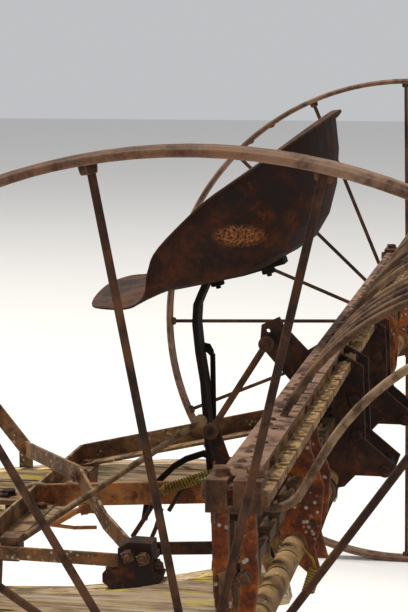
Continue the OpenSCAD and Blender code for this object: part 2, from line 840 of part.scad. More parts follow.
seat_half = seat_w / 2 - seat_flange;
function seat_row(r, s) = [r[0], s * r[1] * seat_half, r[2] + (s < 0 ? r[6] : 0),
                           r[3], s * r[4] * seat_half, r[5]];
function spline(a, b, c, d, t) =
    (2 * b + (c - a) * t + (2 * a - 5 * b + 4 * c - d) * t * t + (3 * b - a - 3 * c + d) * t * t * t) / 2;

seat_ends = len(seat_rows) - 1;
seat_loop = concat([for (r = seat_rows) seat_row(r, 1)],
                   [for (i = [seat_ends - 1:-1:1]) seat_row(seat_rows[i], -1)]);
seat_n = len(seat_loop);
seat_edge = [for (i = [0:seat_n - 1], k = [0:seat_steps - 1])
    spline(seat_loop[(i + seat_n - 1) % seat_n], seat_loop[i], seat_loop[(i + 1) % seat_n],
           seat_loop[(i + 2) % seat_n], k / seat_steps)];
seat_m = len(seat_edge);

function rim_of(q) = [q[0], q[1], q[2]];
function floor_of(q) = [q[3], q[4], q[5]];
function steep(q) = let (d = rim_of(q) - floor_of(q)) abs(d.z) / norm(d);
function wall_of(q, t) = let (a = floor_of(q), b = rim_of(q), k = steep(q),
                              go = k * sin(90 * t) + (1 - k) * t,
                              up = k * (1 - cos(90 * t)) + (1 - k) * t)
    [a.x + (b.x - a.x) * go, a.y + (b.y - a.y) * go, a.z + (b.z - a.z) * up];
function unit(v) = v / norm(v);
function out_of(j) = let (a = rim_of(seat_edge[(j + seat_m - 1) % seat_m]),
                          b = rim_of(seat_edge[(j + 1) % seat_m]), v = unit([b.x - a.x, b.y - a.y]))
    [-v.y, v.x, 0];
function flange_of(j) = rim_of(seat_edge[j]) + seat_flange * (out_of(j) - [0, 0, 0.1]);

seat_rings = concat(
    [for (t = floor_rings) [for (q = seat_edge) seat_mid + (floor_of(q) - seat_mid) * t]],
    [for (t = wall_rings) [for (q = seat_edge) wall_of(q, t)]],
    [[for (j = [0:seat_m - 1]) flange_of(j)]]);
seat_last = len(seat_rings) - 1;

function ring_at(i, j) = i < 0 ? seat_mid : seat_rings[min(i, seat_last)][(j + seat_m) % seat_m];
function skin_normal(i, j) = unit(cross(ring_at(i, j + 1) - ring_at(i, j - 1),
                                        ring_at(min(i + 1, seat_last - 1), j) - ring_at(i - 1, j)));
// The underside follows the skin, with a square corner where the wall meets the flange
function under_at(i, j) = ring_at(i, j) + seat_t * (i == seat_last ? [0, 0, -1]
    : i == seat_last - 1 ? steep(seat_edge[j]) * out_of(j) - [0, 0, 1] : -skin_normal(i, j));
function corner(side, i, j) = 2 + side * (seat_last + 1) * seat_m + i * seat_m + (j % seat_m);
function quad(a, b, c, d) = [[a, c, b], [a, d, c]];

module seat_skin() {
    top = [for (i = [0:seat_last], j = [0:seat_m - 1]) ring_at(i, j)];
    low = [for (i = [0:seat_last], j = [0:seat_m - 1]) under_at(i, j)];
    faces = concat(
        [for (j = [0:seat_m - 1]) [0, corner(0, 0, j + 1), corner(0, 0, j)]],
        [for (j = [0:seat_m - 1]) [1, corner(1, 0, j), corner(1, 0, j + 1)]],
        [for (i = [0:seat_last - 1], j = [0:seat_m - 1], f = quad(corner(0, i, j), corner(0, i + 1, j),
            corner(0, i + 1, j + 1), corner(0, i, j + 1))) f],
        [for (i = [0:seat_last - 1], j = [0:seat_m - 1], f = quad(corner(1, i, j), corner(1, i, j + 1),
            corner(1, i + 1, j + 1), corner(1, i + 1, j))) f],
        [for (j = [0:seat_m - 1], f = quad(corner(0, seat_last, j), corner(1, seat_last, j),
            corner(1, seat_last, j + 1), corner(0, seat_last, j + 1))) f]);
    points = concat([seat_mid, seat_mid - [0, 0, seat_t]], top, low);
    polyhedron([for (p = points) [-p.x, p.y, p.z]], faces);
}

module seat_pan() {
    color("#5a3a2a") at_axle() translate([seat_front.x, 0, seat_front.y])
        rotate([0, seat_tilt, 0]) seat_skin();
}

wheel_rim_left();
wheel_spokes_left();
wheel_hub_left();
wheel_rim_right();
wheel_spokes_right();
wheel_hub_right();
axle();
axle_collars();
head_angle();
head_bar();
head_rods();
head_brackets();
end_brackets();
end_clamps();
tooth_holders();
rake_teeth();
end_teeth();
dump_casting();
lock_plate();
lock_link();
lock_lever();
hanger_left();
hanger_right();
frame_leg_left();
frame_leg_right();
front_cross();
front_plates();
cross_bar();
centre_bar();
shaft_beam_left();
shaft_beam_right();
shaft_pole_left();
shaft_pole_right();
long_brace();
near_brace();
beam_clip();
draw_plate();
tension_spring();
trip_rod();
rod_guide();
hook_rod();
foot_rod();
seat_post();
seat_pan();
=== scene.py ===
"""Looks of a horse-drawn sulky dump rake: weathered iron, old wood and worn wire teeth.

Metres. +X is forward along the shafts, +Y the driver's left, +Z up from the ground.
Sizes and places of small pieces are in millimetres, and the places are from the middle of the axle,
as in the part's source.
"""
import math

import bmesh
import bpy
from mathutils import Matrix, Vector


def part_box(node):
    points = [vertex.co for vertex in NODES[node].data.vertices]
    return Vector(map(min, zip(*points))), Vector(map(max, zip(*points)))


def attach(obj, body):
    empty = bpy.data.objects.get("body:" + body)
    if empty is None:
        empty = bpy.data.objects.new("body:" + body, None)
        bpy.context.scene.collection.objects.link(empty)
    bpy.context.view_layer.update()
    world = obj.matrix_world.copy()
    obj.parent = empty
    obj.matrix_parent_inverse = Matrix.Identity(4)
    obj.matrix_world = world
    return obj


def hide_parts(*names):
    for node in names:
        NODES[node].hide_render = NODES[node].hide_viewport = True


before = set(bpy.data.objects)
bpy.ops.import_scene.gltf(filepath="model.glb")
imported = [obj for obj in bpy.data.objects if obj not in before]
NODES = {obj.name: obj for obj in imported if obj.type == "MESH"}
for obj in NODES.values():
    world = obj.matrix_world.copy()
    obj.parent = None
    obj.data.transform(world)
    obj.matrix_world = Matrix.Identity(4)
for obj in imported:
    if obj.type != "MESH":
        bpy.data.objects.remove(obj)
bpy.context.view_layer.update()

SCENE = bpy.context.scene
MM = 0.001


def middle(node):
    """Middle of a CAD node's box."""
    low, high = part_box(node)
    return (low + high) / 2


AXLE = middle("axle")
WHEEL_R = (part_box("wheel_rim_left")[1].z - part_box("wheel_rim_left")[0].z) / 2
WHEEL_Y = middle("wheel_rim_left").y


def at(x, y, z):
    """Point given in millimetres from the middle of the axle."""
    return AXLE + Vector((x, y, z)) * MM


# Camera, as the photograph was taken: from the left and a little behind

PHOTO_HEIGHT_PX = 612
FOCAL_PX = 1890
SENSOR_MM = 36
CAMERA_FROM_AXLE = Vector((-0.3835, 3.6796, 0))
CAMERA_HEIGHT = 1.4978
CAMERA_YAW = 0.1798
CAMERA_PITCH = 0.1419


def set_camera():
    data = bpy.data.cameras.new("camera")
    data.sensor_width = SENSOR_MM
    data.lens = FOCAL_PX / PHOTO_HEIGHT_PX * SENSOR_MM
    camera = bpy.data.objects.new("camera", data)
    SCENE.collection.objects.link(camera)
    level = math.cos(CAMERA_PITCH)
    ahead = Vector((math.sin(CAMERA_YAW) * level, -math.cos(CAMERA_YAW) * level, -math.sin(CAMERA_PITCH)))
    spot = Vector((AXLE.x, 0, CAMERA_HEIGHT)) + CAMERA_FROM_AXLE
    camera.matrix_world = Matrix.Translation(spot) @ ahead.to_track_quat("-Z", "Y").to_matrix().to_4x4()
    SCENE.camera = camera


set_camera()


# Materials

SPECULAR = 0.2
BUMP_STRENGTH = 0.8
DEEPENING = 1.35
WEAR_RADIUS = 0.0045
WEAR_BAND = (0.985, 0.86)
SPOT_BAND = (1.15, 0.55)
# Colour of a painted patch of sunlight: rust as it looks in sun.
SUNLIT_RUST = (0.30, 0.105, 0.03)
MOSS = (0.16, 0.17, 0.06)


class Look:
    """One procedural material, built node by node."""

    def __init__(self, name):
        self.mat = bpy.data.materials.new(name)
        self.mat.use_nodes = True
        self.tree = self.mat.node_tree
        self.shader = self.tree.nodes["Principled BSDF"]
        self.place = self.add("ShaderNodeTexCoord").outputs["Object"]
        normal = self.add("ShaderNodeNewGeometry").outputs["Normal"]
        self.up = self.add("ShaderNodeSeparateXYZ", {"Vector": normal}).outputs["Z"]

    def add(self, kind, inputs=None, **props):
        node = self.tree.nodes.new(kind)
        for key, value in props.items():
            setattr(node, key, value)
        for key, value in (inputs or {}).items():
            self.plug(node.inputs[key], value)
        return node

    def plug(self, socket, value):
        if isinstance(value, bpy.types.NodeSocket):
            self.tree.links.new(value, socket)
        elif hasattr(socket.default_value, "__len__") and len(socket.default_value) == 4:
            socket.default_value = (*value, 1)
        else:
            socket.default_value = value

    def mapped(self, vector=None, **settings):
        """A vector, or else the place on the object, that is moved, turned or scaled."""
        return self.add("ShaderNodeMapping", {"Vector": vector or self.place, **settings}).outputs[0]

    def noise(self, scale, detail, rough, where=None, bend=0.0):
        return self.add("ShaderNodeTexNoise", {
            "Vector": where or self.place, "Scale": scale, "Detail": detail, "Roughness": rough,
            "Distortion": bend}).outputs[0]

    def cells(self, scale, where=None):
        inputs = {"Vector": where or self.place, "Scale": scale}
        return self.add("ShaderNodeTexVoronoi", inputs).outputs["Distance"]

    def band(self, value, low, high, start=0.0, stop=1.0):
        """Smooth step from start at low to stop at high; low may be the larger one."""
        return self.add("ShaderNodeMapRange", {
            "Value": value, "From Min": low, "From Max": high, "To Min": start, "To Max": stop},
            interpolation_type="SMOOTHSTEP").outputs[0]

    def math(self, operation, a, b=0.0):
        return self.add("ShaderNodeMath", {0: a, 1: b}, operation=operation).outputs[0]

    def vectors(self, operation, a, b, out="Vector"):
        return self.add("ShaderNodeVectorMath", {0: a, 1: b}, operation=operation).outputs[out]

    def times(self, *values):
        out = values[0]
        for value in values[1:]:
            out = self.math("MULTIPLY", out, value)
        return out

    def plus(self, a, b):
        return self.math("ADD", a, b)

    def mix(self, share, a, b):
        node = self.add("ShaderNodeMix", data_type="RGBA")
        self.plug(node.inputs[0], share)
        self.plug(node.inputs[6], a)
        self.plug(node.inputs[7], b)
        return node.outputs[2]

    def zone(self, low, full_low, full_high, high):
        """Share that is 1 between two heights above the axle, in millimetres, and fades out beyond them."""
        level = self.add("ShaderNodeSeparateXYZ", {"Vector": self.place}).outputs["Z"]
        low, full_low, full_high, high = (AXLE.z + z * MM for z in (low, full_low, full_high, high))
        return self.times(self.band(level, low, full_low), self.band(level, high, full_high))

    def spot(self, x, z, half_x, half_z):
        """Share that is 1 at a place in X and Z, in millimetres from the axle, and fades out round it."""
        moved = self.vectors("ADD", self.place, (-AXLE.x - x * MM, 0, -AXLE.z - z * MM))
        sized = self.vectors("MULTIPLY", moved, (1 / (half_x * MM), 0, 1 / (half_z * MM)))
        return self.band(self.vectors("LENGTH", sized, (0, 0, 0), "Value"), *SPOT_BAND)

    def edges(self, radius):
        """Share of wear near the edges of a solid, wherever it is seen from."""
        bevel = self.add("ShaderNodeBevel", {"Radius": radius}, samples=4).outputs[0]
        normal = self.add("ShaderNodeNewGeometry").outputs["Normal"]
        return self.band(self.vectors("DOT_PRODUCT", bevel, normal, "Value"), *WEAR_BAND)

    def finish(self, color, rough, height, depth):
        self.plug(self.shader.inputs["Base Color"], color)
        self.plug(self.shader.inputs["Roughness"], rough)
        self.shader.inputs["Specular IOR Level"].default_value = SPECULAR
        bump = self.add("ShaderNodeBump", {"Strength": BUMP_STRENGTH, "Distance": depth, "Height": height})
        self.plug(self.shader.inputs["Normal"], bump.outputs[0])
        return self.mat


def deeper(color, gain):
    """Colour with its weak channels drawn down, times gain; a colour that isn't given stays None."""
    return color and tuple(gain * c ** DEEPENING for c in color)


def rusty(name, dark, mid, light, glow, glow_share, seed, gain, worn=None, worn_share=0.0, pale=None,
          pale_share=0.0, lichen=None, lichen_share=0.0, size=1.0, depth=0.0009, painted_shade=None, sunlit_patch=None):
    """Old iron: blotched rust with bright blooms, worn edges, dust on what faces up, and lichen specks.

    painted_shade is four heights above the axle and a share: between them the iron is darkened as painted
    shade.
    sunlit_patch is a place in X and Z from the axle, its half sizes and a share: a painted patch of
    sunlight round it, coloured as bright rust.
    """
    look = Look(name)
    dark, mid, light, glow, worn, pale = (deeper(c, gain) for c in (dark, mid, light, glow, worn, pale))
    where = look.mapped(Location=(seed, seed * 0.7, seed * 1.3))
    broad = look.noise(4.5 * size, 3, 0.55, where)
    blotch = look.noise(24 * size, 8, 0.66, where, 0.35)
    grain = look.noise(210, 6, 0.78, where)
    speck = look.noise(85, 5, 0.7, where, 0.6)
    tone = look.plus(look.times(blotch, 0.62), look.times(grain, 0.38))
    color = look.mix(look.band(tone, 0.40, 0.60), dark, mid)
    faded = look.times(look.band(broad, 0.44, 0.62), look.band(blotch, 0.36, 0.62))
    color = look.mix(faded, color, light)
    bloom = look.times(look.band(blotch, 0.50, 0.64), look.band(speck, 0.42, 0.58), glow_share)
    color = look.mix(bloom, color, glow)
    pits = look.times(look.band(speck, 0.60, 0.72), 0.55)
    color = look.mix(pits, color, dark)
    if worn:
        rub = look.times(look.edges(WEAR_RADIUS), look.band(speck, 0.34, 0.58), worn_share)
        color = look.mix(rub, color, worn)
    if pale:
        dust = look.times(look.band(look.up, 0.1, 0.9), look.band(blotch, 0.38, 0.60), pale_share)
        color = look.mix(dust, color, pale)
    if lichen:
        grown = look.band(look.noise(17, 4, 0.6, where), 0.50, 0.60)
        spots = look.times(look.band(look.cells(95, where), 0.34, 0.22), grown, lichen_share)
        color = look.mix(spots, color, lichen)
    # Painted light: a patch of sunlight, coloured as bright rust, round a place in X and Z.
    if sunlit_patch:
        *place, share = sunlit_patch
        bright = look.times(look.spot(*place), look.band(grain, 0.44, 0.56), share)
        color = look.mix(bright, color, SUNLIT_RUST)
    # Painted shade: the iron is darkened between two heights above the axle, where the uprights lie in
    # shadow.
    if painted_shade:
        *heights, share = painted_shade
        color = look.mix(look.times(look.zone(*heights), share), color, tuple(c * 0.4 for c in dark))
    rough = look.band(tone, 0.35, 0.65, 0.62, 0.93)
    fine = look.plus(look.times(grain, 0.35), look.times(speck, 0.25))
    height = look.plus(look.times(blotch, 0.45), fine)
    return look.finish(color, rough, height, depth)


def old_wood(name, dark, mid, pale, lichen, seed, tilt=0.0, lichen_share=0.9):
    """Weathered timber with its grain along X: fibres, cracks, grey streaks, moss and crusts of lichen.

    tilt turns the grain about Y, in radians.
    """
    look = Look(name)
    turned = look.mapped(Rotation=(0, tilt, 0))

    def along(long, across, shift=0.0):
        return look.mapped(turned, Scale=(long, across, across), Location=(seed + shift, seed, shift))

    board = look.noise(1, 5, 0.6, along(1.6, 26), 0.4)
    fibre = look.noise(1, 6, 0.7, along(7, 210), 0.15)
    split = look.noise(1, 3, 0.5, along(1.7, 42, 3.1), 0.25)
    crack = look.band(look.math("ABSOLUTE", look.plus(split, -0.5)), 0.020, 0.004)
    stain = look.noise(6, 5, 0.65)
    tone = look.plus(look.times(board, 0.55), look.times(fibre, 0.45))
    color = look.mix(look.band(tone, 0.38, 0.60), dark, mid)
    bleached = look.times(look.band(fibre, 0.42, 0.60), look.band(look.up, -0.5, 0.8, 0.45, 1.0))
    color = look.mix(bleached, color, pale)
    color = look.mix(look.times(look.band(stain, 0.58, 0.72), 0.45), color, MOSS)
    color = look.mix(look.times(crack, 0.9), color, tuple(c * 0.28 for c in dark))
    cells = look.band(look.cells(46), 0.42, 0.20)
    grown = look.band(look.noise(9, 5, 0.7), 0.50, 0.60)
    crumbs = look.band(look.noise(120, 4, 0.7), 0.36, 0.52)
    crust = look.times(cells, grown, look.band(look.up, -0.2, 0.5), crumbs, lichen_share)
    color = look.mix(crust, color, lichen)
    streak = look.times(look.band(look.noise(1, 5, 0.7, along(5, 90, 7.3), 0.3), 0.52, 0.62),
                        look.band(look.noise(5, 4, 0.6), 0.44, 0.60), lichen_share)
    color = look.mix(streak, color, lichen)
    grey = look.times(look.band(look.noise(1, 5, 0.7, along(4, 120, 11.9)), 0.55, 0.66), 0.6)
    color = look.mix(grey, color, tuple(0.35 + 0.5 * c for c in pale))
    rough = look.band(fibre, 0.3, 0.7, 0.78, 0.95)
    height = look.plus(look.times(fibre, 0.5), look.plus(look.times(board, 0.4), look.times(crack, -0.6)))
    return look.finish(color, rough, look.plus(height, look.times(crust, 0.35)), 0.0022)


def dull(name, low, high, rough):
    """Matt backdrop with a faint mottle."""
    look = Look(name)
    return look.finish(look.mix(look.noise(3, 3, 0.5), low, high), rough, look.noise(40, 3, 0.5), 0.0002)


# The three colours after a name: dark, middle and light rust of an iron; dark, middle and pale of a wood

MAT = {
    "rim": rusty("rim_iron", (0.14, 0.075, 0.045), (0.30, 0.175, 0.115), (0.40, 0.27, 0.19),
                 glow=(0.42, 0.20, 0.09), glow_share=0.35, worn=(0.52, 0.42, 0.34), worn_share=0.5,
                 pale=(0.46, 0.34, 0.26), pale_share=0.35, seed=1.7, gain=0.75),
    "spoke": rusty("spoke_iron", (0.075, 0.036, 0.02), (0.19, 0.095, 0.05), (0.27, 0.15, 0.085),
                   glow=(0.36, 0.16, 0.06), glow_share=0.4, pale=(0.33, 0.22, 0.15), pale_share=0.3,
                   seed=2.9, gain=0.5),
    "hub": rusty("hub_iron", (0.06, 0.03, 0.018), (0.17, 0.08, 0.042), (0.24, 0.13, 0.075),
                 glow=(0.38, 0.15, 0.05), glow_share=0.5, worn=(0.30, 0.22, 0.17), worn_share=0.5,
                 seed=4.1, gain=0.6),
    "axle": rusty("axle_iron", (0.07, 0.038, 0.022), (0.20, 0.11, 0.06), (0.28, 0.17, 0.10),
                  glow=(0.36, 0.15, 0.05), glow_share=0.3, seed=5.3, gain=0.6),
    "angle": rusty("angle_iron", (0.11, 0.055, 0.033), (0.27, 0.145, 0.085), (0.36, 0.23, 0.15),
                   glow=(0.40, 0.17, 0.06), glow_share=0.4, worn=(0.46, 0.33, 0.24), worn_share=0.7,
                   pale=(0.50, 0.36, 0.27), pale_share=0.6, seed=6.1, gain=0.7),
    "bar": rusty("bar_iron", (0.08, 0.042, 0.024), (0.22, 0.115, 0.062), (0.31, 0.18, 0.10),
                 glow=(0.42, 0.18, 0.065), glow_share=0.45, worn=(0.36, 0.26, 0.19), worn_share=0.5,
                 pale=(0.42, 0.30, 0.19), pale_share=0.4, seed=7.7, gain=0.65),
    "kite": rusty("plate_iron", (0.12, 0.042, 0.018), (0.33, 0.115, 0.038), (0.42, 0.18, 0.065),
                  glow=(0.56, 0.22, 0.06), glow_share=0.75, worn=(0.44, 0.26, 0.16), worn_share=0.5,
                  lichen=(0.60, 0.56, 0.48), lichen_share=0.45, seed=8.3, gain=0.8),
    # holder_iron carries painted shade on the uprights, between 34 and 186 mm above the axle.
    "holder": rusty("holder_iron", (0.16, 0.082, 0.036), (0.38, 0.225, 0.098), (0.48, 0.32, 0.15),
                    glow=(0.50, 0.24, 0.085), glow_share=0.45, worn=(0.56, 0.42, 0.25), worn_share=0.5,
                    pale=(0.56, 0.44, 0.26), pale_share=0.45, lichen=(0.62, 0.58, 0.34), lichen_share=0.35,
                    seed=9.1, gain=0.75, painted_shade=(18, 34, 186, 202, 0.75)),
    "tooth": rusty("tooth_steel", (0.10, 0.055, 0.032), (0.28, 0.17, 0.10), (0.38, 0.26, 0.165),
                   glow=(0.42, 0.20, 0.085), glow_share=0.4, pale=(0.48, 0.36, 0.25), pale_share=0.45,
                   seed=10.3, gain=0.62),
    "end_tooth": rusty("end_tooth_steel", (0.18, 0.11, 0.065), (0.42, 0.28, 0.17), (0.52, 0.38, 0.25),
                       glow=(0.46, 0.24, 0.10), glow_share=0.3, pale=(0.58, 0.46, 0.33), pale_share=0.5,
                       seed=11.9, gain=0.66),
    "dark": rusty("dark_iron", (0.030, 0.014, 0.009), (0.085, 0.036, 0.020), (0.14, 0.07, 0.04),
                  glow=(0.30, 0.11, 0.035), glow_share=0.5, worn=(0.22, 0.14, 0.095), worn_share=0.5,
                  pale=(0.20, 0.13, 0.08), pale_share=0.25, seed=12.7, gain=0.6),
    "post": rusty("post_iron", (0.018, 0.009, 0.006), (0.050, 0.022, 0.013), (0.085, 0.042, 0.025),
                  glow=(0.20, 0.075, 0.028), glow_share=0.4, worn=(0.17, 0.11, 0.075), worn_share=0.6,
                  seed=13.1, gain=0.45),
    "leg": rusty("leg_iron", (0.12, 0.06, 0.032), (0.30, 0.165, 0.085), (0.42, 0.28, 0.15),
                 glow=(0.50, 0.22, 0.075), glow_share=0.5, worn=(0.48, 0.34, 0.21), worn_share=0.6,
                 pale=(0.54, 0.40, 0.24), pale_share=0.55, lichen=(0.60, 0.56, 0.36), lichen_share=0.4,
                 seed=14.9, gain=0.72),
    "orange": rusty("flat_orange", (0.17, 0.065, 0.026), (0.42, 0.185, 0.068), (0.52, 0.27, 0.12),
                    glow=(0.62, 0.27, 0.075), glow_share=0.7, worn=(0.52, 0.36, 0.22), worn_share=0.5,
                    pale=(0.56, 0.38, 0.22), pale_share=0.4, seed=15.3, gain=0.78),
    "rod": rusty("rod_iron", (0.15, 0.09, 0.045), (0.36, 0.235, 0.13), (0.48, 0.35, 0.21),
                 glow=(0.48, 0.24, 0.09), glow_share=0.35, pale=(0.58, 0.45, 0.30), pale_share=0.5,
                 seed=16.7, gain=0.7),
    # seat_iron carries a painted patch of sunlight on its wall, 180 mm forward of and 438 mm above the
    # axle.
    "seat": rusty("seat_iron", (0.040, 0.016, 0.009), (0.105, 0.040, 0.020), (0.16, 0.070, 0.036),
                  glow=(0.34, 0.115, 0.035), glow_share=0.45, worn=(0.30, 0.18, 0.12), worn_share=0.7,
                  pale=(0.34, 0.20, 0.12), pale_share=0.55, depth=0.0006, seed=17.9, gain=0.5,
                  sunlit_patch=(180, 438, 50, 22, 0.8)),
    "spring": rusty("spring_iron", (0.20, 0.12, 0.03), (0.44, 0.33, 0.07), (0.60, 0.50, 0.12),
                    glow=(0.46, 0.22, 0.06), glow_share=0.3, lichen=(0.72, 0.66, 0.14), lichen_share=0.9,
                    seed=18.3, gain=0.7),
    "bolt": rusty("bolt_iron", (0.07, 0.035, 0.02), (0.20, 0.095, 0.048), (0.32, 0.18, 0.10),
                  glow=(0.44, 0.18, 0.06), glow_share=0.6, worn=(0.40, 0.28, 0.20), worn_share=0.7,
                  size=2.0, depth=0.0005, seed=19.1, gain=0.65),
    "beam": old_wood("beam_wood", (0.17, 0.105, 0.06), (0.44, 0.30, 0.175), (0.66, 0.51, 0.33),
                     lichen=(0.70, 0.54, 0.07), seed=1.3),
    "pole": old_wood("pole_wood", (0.15, 0.095, 0.055), (0.38, 0.26, 0.15), (0.58, 0.44, 0.28),
                     lichen=(0.60, 0.50, 0.16), seed=5.1, tilt=0.17, lichen_share=0.45),
}

NODE_LOOKS = {
    "rim": ["wheel_rim_left", "wheel_rim_right"],
    "spoke": ["wheel_spokes_left", "wheel_spokes_right"],
    "hub": ["wheel_hub_left", "wheel_hub_right", "axle_collars"],
    "axle": ["axle", "cross_bar"],
    "angle": ["head_angle"],
    "bar": ["head_bar", "head_rods", "end_clamps", "front_plates", "rod_guide", "lock_link"],
    "kite": ["head_brackets", "end_brackets"],
    "holder": ["tooth_holders"],
    "tooth": ["rake_teeth"],
    "end_tooth": ["end_teeth"],
    "dark": ["dump_casting", "lock_plate", "lock_lever", "hanger_left", "hanger_right", "beam_clip"],
    "post": ["seat_post", "hook_rod", "foot_rod"],
    "leg": ["frame_leg_left", "frame_leg_right", "near_brace", "long_brace", "front_cross", "draw_plate"],
    "orange": ["centre_bar"],
    "rod": ["trip_rod"],
    "seat": ["seat_pan"],
    "spring": ["tension_spring"],
    "beam": ["shaft_beam_left", "shaft_beam_right"],
    "pole": ["shaft_pole_left", "shaft_pole_right"],
}

for look_name, node_names in NODE_LOOKS.items():
    for node_name in node_names:
        NODES[node_name].data.materials.clear()
        NODES[node_name].data.materials.append(MAT[look_name])


# Light and floor

FLOOR_SIZE = 60
WORLD_STRENGTH = 0.55


def set_stage():
    bpy.ops.mesh.primitive_plane_add(size=FLOOR_SIZE, location=(0, 0, 0))
    floor = bpy.context.object
    floor.name = "floor"
    floor.data.materials.append(dull("floor_pale", (0.78, 0.77, 0.75), (0.81, 0.80, 0.78), 0.9))
    world = bpy.data.worlds.new("world")
    world.use_nodes = True
    world.node_tree.nodes["Background"].inputs["Color"].default_value = (0.96, 0.97, 1.0, 1)
    world.node_tree.nodes["Background"].inputs["Strength"].default_value = WORLD_STRENGTH
    SCENE.world = world


def area_light(name, spot, target, size, watts, color=(1, 1, 1)):
    data = bpy.data.lights.new(name, "AREA")
    data.shape = "DISK"
    data.size = size
    data.energy = watts
    data.color = color
    light = bpy.data.objects.new(name, data)
    SCENE.collection.objects.link(light)
    light.location = spot
    light.rotation_euler = (Vector(target) - Vector(spot)).to_track_quat("-Z", "Y").to_euler()


set_stage()
area_light("key", (AXLE.x + 4.4, -2.4, 11.0), (AXLE.x, 0, 0.8), size=3.4, watts=1350,
           color=(1.0, 0.95, 0.87))
area_light("fill", (AXLE.x - 4.8, 9.0, 5.0), (AXLE.x, 0, 0.7), size=6.0, watts=260)
SCENE.view_settings.view_transform = "Standard"


# Small pieces

ACROSS = Vector((0, 1, 0))
FORWARD = Vector((1, 0, 0))
UP = Vector((0, 0, 1))
WASHER_THICK = 2.2
THREAD_RIDGES = 5
THREAD_STEP = 1.5
THREAD_DEPTH = 0.7
TIP_WEAR = 1.5
DOME_STEPS = 5
COIL_STEPS = 14
SHARP_ANGLE = 0.6


class Shape:
    """Joined mesh of many small forms."""

    def __init__(self):
        self.verts = []
        self.faces = []

    def rings(self, loops):
        """Skin over equal rings of points, capped at both ends."""
        base = len(self.verts)
        count = len(loops[0])
        for loop in loops:
            self.verts.extend(loop)
        for i in range(len(loops) - 1):
            for j in range(count):
                a, b = base + i * count + j, base + i * count + (j + 1) % count
                self.faces.append((a, b, b + count, a + count))
        self.faces.append(tuple(base + j for j in reversed(range(count))))
        self.faces.append(tuple(base + (len(loops) - 1) * count + j for j in range(count)))

    def turned(self, spot, axis, profile, sides, phase=0.0):
        """Turned form: profile rows are (distance along the axis, radius)."""
        axis = Vector(axis).normalized()
        across = axis.orthogonal().normalized()
        other = axis.cross(across)
        loops = []
        for up, radius in profile:
            loops.append([spot + axis * up * MM + (across * math.cos(t) + other * math.sin(t)) * radius * MM
                          for t in (phase + 2 * math.pi * j / sides for j in range(sides))])
        self.rings(loops)

    def bolt(self, spot, axis, across, head, phase=0.0, sides=4):
        """Bolt head or nut with chamfered corners, on a washer."""
        wide = across * 0.62
        self.turned(spot, axis, [(0, wide), (1.6, wide), (WASHER_THICK, across * 0.58)], 24)
        r = across / 2 / math.cos(math.pi / sides)
        top = WASHER_THICK + head
        rows = [(WASHER_THICK, r * 0.97), (WASHER_THICK + 1, r), (top - 1.6, r), (top, r * 0.84)]
        self.turned(spot, axis, rows, sides, phase)

    def stud(self, spot, axis, d):
        """End of a threaded rod: ridges that narrow to a worn tip."""
        rows = []
        for i in range(THREAD_RIDGES):
            rows.append((i * THREAD_STEP, d / 2))
            rows.append((i * THREAD_STEP + THREAD_STEP / 2, d / 2 - THREAD_DEPTH))
        rows.append((THREAD_RIDGES * THREAD_STEP, d / 2 - TIP_WEAR))
        self.turned(spot, axis, rows, 14)

    def nut(self, spot, axis, across, thick, d, phase, sides=4):
        """Nut on a washer, with the threaded end of its bolt."""
        self.bolt(spot, axis, across, thick, phase, sides)
        self.stud(spot + Vector(axis).normalized() * thick * MM, axis, d)

    def dome(self, spot, axis, d, h):
        """Round head of a carriage bolt or rivet."""
        angles = (math.pi / 2 * i / DOME_STEPS for i in range(DOME_STEPS))
        rows = [(h * math.sin(t), d / 2 * math.cos(t)) for t in angles]
        rows.append((h, d / 2 * 0.12))
        self.turned(spot, axis, rows, 16)

    def wire(self, points, d, sides=10):
        """Round wire along points."""
        points = [Vector(p) for p in points]
        across = (points[1] - points[0]).normalized().orthogonal().normalized()
        loops = []
        for i, p in enumerate(points):
            ahead = points[min(i + 1, len(points) - 1)] - points[max(i - 1, 0)]
            ahead.normalize()
            across = (across - ahead * across.dot(ahead)).normalized()
            other = ahead.cross(across)
            loops.append([p + (across * math.cos(t) + other * math.sin(t)) * (d / 2 * MM)
                          for t in (2 * math.pi * j / sides for j in range(sides))])
        self.rings(loops)

    def coil(self, a, b, r, d, turns):
        """Coil of wire round the line from a to b."""
        way = (b - a).normalized()
        across = way.orthogonal().normalized()
        other = way.cross(across)
        count = int(turns * COIL_STEPS)
        points = []
        for i in range(count + 1):
            t = 2 * math.pi * i / COIL_STEPS
            out = (across * math.cos(t) + other * math.sin(t)) * r * MM
            points.append(a + (b - a) * i / count + out)
        self.wire(points, d, 8)

    def make(self, name, body, look):
        mesh = bpy.data.meshes.new(name)
        mesh.from_pydata([tuple(v) for v in self.verts], [], self.faces)
        mesh.validate()
        work = bmesh.new()
        work.from_mesh(mesh)
        bmesh.ops.recalc_face_normals(work, faces=work.faces)
        work.to_mesh(mesh)
        work.free()
        for poly in mesh.polygons:
            poly.use_smooth = True
        mesh.set_sharp_from_angle(angle=SHARP_ANGLE)
        piece = bpy.data.objects.new(name, mesh)
        SCENE.collection.objects.link(piece)
        piece.data.materials.append(MAT[look])
        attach(piece, body)
        return piece


# Wheels: square nuts where the spokes pass the rim, the rim's riveted joint, the hub's rings

SPOKE_N = 16
SPOKE_TURN = {"left": math.radians(12.4), "right": math.radians(-0.9)}
SPOKE_STAGGER = 5
NUT_FOOT = 11
RIM_T = 13
RIM_JOINT = math.radians(52)
RIM_JOINT_HALF = 0.055
RIM_RIVET_Y = 11
HUB_RING_LEN = 10
HUB_RING_FOOT = 37
# Distance from the wheel's middle, radius
HUB_RINGS = ((78, 41), (26, 40))


